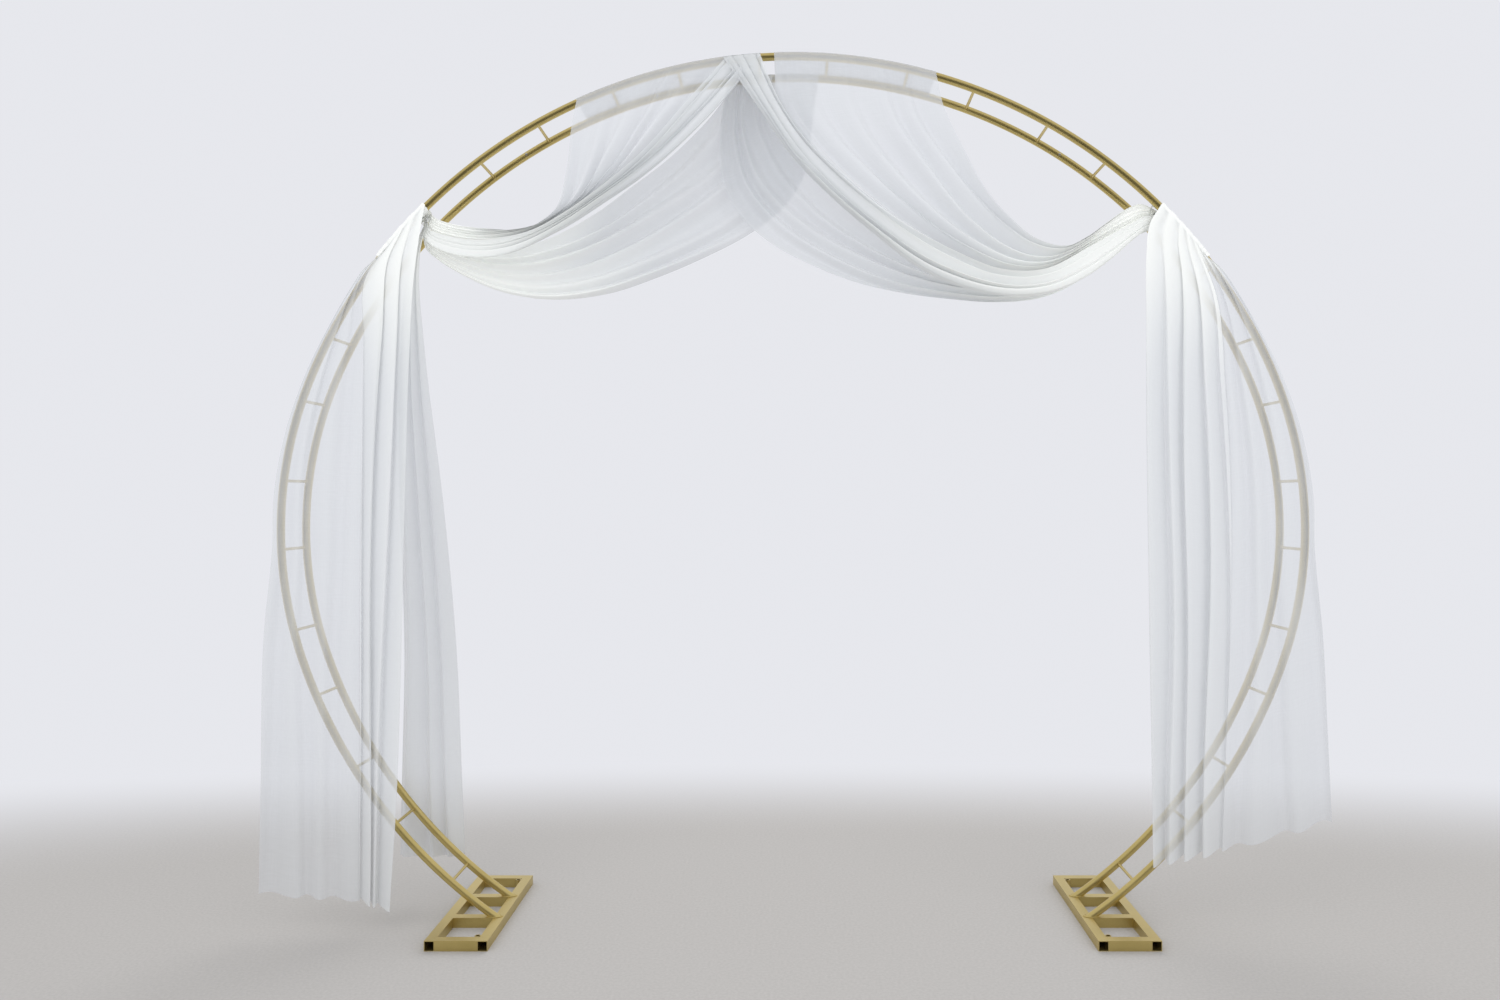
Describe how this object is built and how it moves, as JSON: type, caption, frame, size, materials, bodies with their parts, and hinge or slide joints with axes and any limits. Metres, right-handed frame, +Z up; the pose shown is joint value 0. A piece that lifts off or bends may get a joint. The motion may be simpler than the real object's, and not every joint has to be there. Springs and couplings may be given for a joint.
{
  "type": "double-hoop wedding arch with sheer drape",
  "caption": "Free-standing wedding arch: two steel tube hoops joined by rungs on box-tube bases, dressed with swags and side curtains.",
  "frame": {"origin": "on the ground at the middle of the arch, halfway between the front and back hoops", "axes": "+X to the right seen from the front, +Y from the front hoop to the back hoop, +Z up"},
  "size_m": [2.3744, 0.4, 1.9545],
  "materials": {
    "gold_steel": "satin metallic",
    "chiffon": "sheer crinkled chiffon"
  },
  "bodies": {
    "root": {"left_ladder_1": "gold_steel", "left_ladder_2": "gold_steel", "left_ladder_3": "gold_steel", "left_ladder_4": "gold_steel", "left_ladder_5": "gold_steel", "left_ladder_6": "gold_steel", "left_ladder_7": "gold_steel", "right_ladder_1": "gold_steel", "right_ladder_2": "gold_steel", "right_ladder_3": "gold_steel", "right_ladder_4": "gold_steel", "right_ladder_5": "gold_steel", "right_ladder_6": "gold_steel", "right_ladder_7": "gold_steel", "left_leg": "gold_steel", "left_inner_rail": "gold_steel", "left_outer_rail": "gold_steel", "left_front_cross": "gold_steel", "left_second_cross": "gold_steel", "left_third_cross": "gold_steel", "left_back_cross": "gold_steel", "left_stake_sleeves": "gold_steel", "left_tie": "chiffon", "left_swag": "chiffon", "left_curtain": "chiffon", "right_leg": "gold_steel", "right_inner_rail": "gold_steel", "right_outer_rail": "gold_steel", "right_front_cross": "gold_steel", "right_second_cross": "gold_steel", "right_third_cross": "gold_steel", "right_back_cross": "gold_steel", "right_stake_sleeves": "gold_steel", "right_tie": "chiffon", "right_swag": "chiffon", "right_curtain": "chiffon", "left_back_curtain": "chiffon"}
  },
  "joints": []
}
